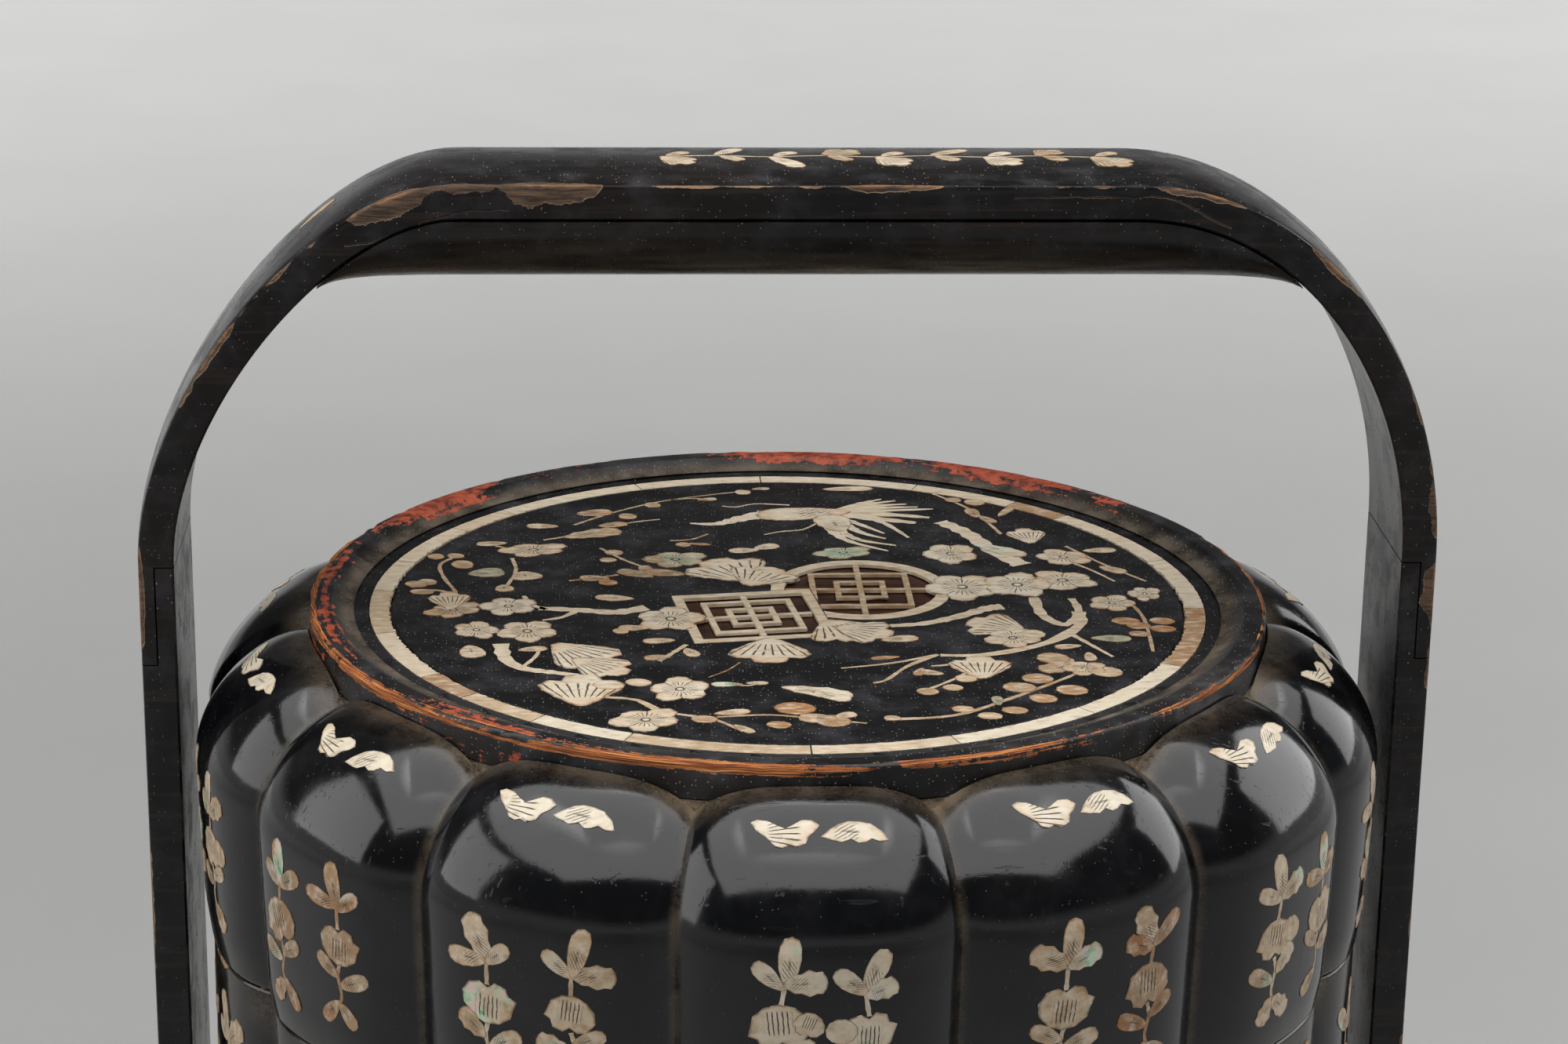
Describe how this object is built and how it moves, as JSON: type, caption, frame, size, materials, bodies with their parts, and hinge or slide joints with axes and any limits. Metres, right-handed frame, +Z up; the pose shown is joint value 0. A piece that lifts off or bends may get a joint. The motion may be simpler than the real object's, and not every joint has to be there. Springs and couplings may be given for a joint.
{
  "type": "tiered food basket",
  "caption": "Lobed black lacquered wood picnic basket: stacked lift-off boxes and an inlaid lid on a stand, carried by a tall flat hoop handle with a grip block.",
  "frame": {"origin": "centre of the footprint on the plane of the foot ring's underside", "axes": "+Z up; the carrying hoop stands in the XZ plane with its legs at +X and -X; the front faces -Y"},
  "size_m": [0.2966, 0.263, 0.3653],
  "materials": {
    "black_lacquer": "black lacquer on wood, polished gloss, fine scratches and dust",
    "worn_lacquer": "black lacquer worn through on the rim to orange-red ground coats and split wood",
    "red_lacquer": "dark red lacquer, satin",
    "bare_wood": "bare brown hardwood peg ends",
    "mother_of_pearl": "polished mother-of-pearl shell, cream with faint green and pink"
  },
  "bodies": {
    "stand": {"base_board": "black_lacquer", "base_seat": "black_lacquer", "foot_ring": "black_lacquer", "leg_left": "black_lacquer", "leg_right": "black_lacquer", "leg_peg_left_front": "bare_wood", "leg_peg_left_rear": "bare_wood", "leg_peg_right_front": "bare_wood", "leg_peg_right_rear": "bare_wood", "handle_bow": "black_lacquer", "handle_grip": "black_lacquer"},
    "lower_box": {"lower_box_wall": "black_lacquer", "lower_box_floor": "red_lacquer", "lower_box_liner": "red_lacquer"},
    "middle_box": {"middle_box_wall": "black_lacquer", "middle_box_floor": "red_lacquer", "middle_box_liner": "red_lacquer"},
    "upper_box": {"upper_box_wall": "black_lacquer", "upper_box_floor": "red_lacquer", "upper_box_liner": "red_lacquer"},
    "lid": {"lid_shell": "black_lacquer", "lid_rim": "worn_lacquer", "lid_panel": "black_lacquer", "pearl_band_01": "mother_of_pearl", "pearl_band_02": "mother_of_pearl", "pearl_band_03": "mother_of_pearl", "pearl_band_04": "mother_of_pearl", "pearl_band_05": "mother_of_pearl", "pearl_band_06": "mother_of_pearl", "pearl_band_07": "mother_of_pearl", "pearl_band_08": "mother_of_pearl", "pearl_band_09": "mother_of_pearl", "pearl_band_10": "mother_of_pearl", "pearl_band_11": "mother_of_pearl", "pearl_band_12": "mother_of_pearl", "square_plaque_frame": "mother_of_pearl", "square_plaque_fret": "mother_of_pearl", "round_plaque_frame": "mother_of_pearl", "round_plaque_fret": "mother_of_pearl"}
  },
  "joints": [
    {"name": "lower_box_lift", "type": "slide", "parent": "stand", "child": "lower_box", "axis": [0, 0, 1], "range_m": [0, 0.013]},
    {"name": "middle_box_lift", "type": "slide", "parent": "lower_box", "child": "middle_box", "axis": [0, 0, 1], "range_m": [0, 0.013]},
    {"name": "upper_box_lift", "type": "slide", "parent": "middle_box", "child": "upper_box", "axis": [0, 0, 1], "range_m": [0, 0.013]},
    {"name": "lid_lift", "type": "slide", "parent": "upper_box", "child": "lid", "axis": [0, 0, 1], "range_m": [0, 0.013]}
  ]
}
